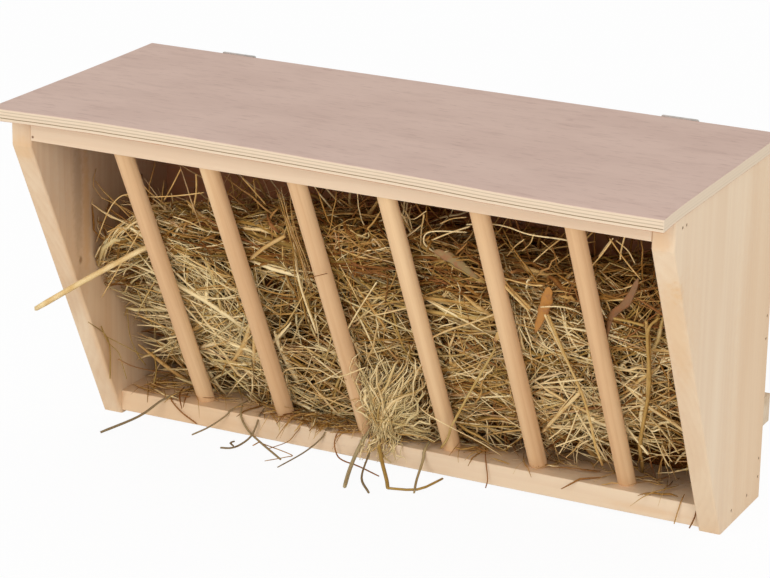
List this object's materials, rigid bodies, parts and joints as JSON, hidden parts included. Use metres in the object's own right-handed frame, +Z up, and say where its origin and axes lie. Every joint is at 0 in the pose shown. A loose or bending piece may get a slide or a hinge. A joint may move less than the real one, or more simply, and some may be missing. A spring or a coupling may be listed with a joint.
{
  "type": "hay feeder box",
  "caption": "Wooden hay rack: shaped end boards, a slanted front of round bars, a hinged plywood lid and two battens behind, filled with hay.",
  "frame": {"origin": "middle of the bounding box's underside, on the floor that the end boards stand on", "axes": "+X along the lid towards the right end board, +Y towards the wall behind, +Z up; the bars face -Y"},
  "size_m": [0.5, 0.232, 0.27],
  "materials": {
    "pine": "matte",
    "bar_wood": "satin",
    "plywood": "matte",
    "batten_wood": "matte",
    "zinc_steel": "satin",
    "nail_steel": "satin",
    "hay": "matte"
  },
  "bodies": {
    "box": {"side_panel_left": "pine", "side_panel_right": "pine", "floor_board": "pine", "top_front_rail": "pine", "back_panel": "plywood", "lower_batten": "batten_wood", "upper_batten": "batten_wood", "rail_nails": "nail_steel", "floor_nails": "nail_steel", "back_panel_nails": "nail_steel", "batten_screws": "zinc_steel", "hinge_box_screws": "zinc_steel", "hay_fill": "hay", "bar_1": "bar_wood", "bar_2": "bar_wood", "bar_3": "bar_wood", "bar_4": "bar_wood", "bar_5": "bar_wood", "bar_6": "bar_wood", "hinge_left_box_leaf": "zinc_steel", "hinge_left_pin": "zinc_steel", "hinge_right_box_leaf": "zinc_steel", "hinge_right_pin": "zinc_steel"},
    "lid": {"lid": "plywood", "hinge_left_lid_leaf": "zinc_steel", "hinge_right_lid_leaf": "zinc_steel", "hinge_lid_screws": "zinc_steel"}
  },
  "joints": [
    {"name": "lid_hinge", "type": "hinge", "parent": "box", "child": "lid", "pos_m": [0, 0.1065, 0.26], "axis": [-1, 0, 0], "range_deg": [0, 175]}
  ]
}
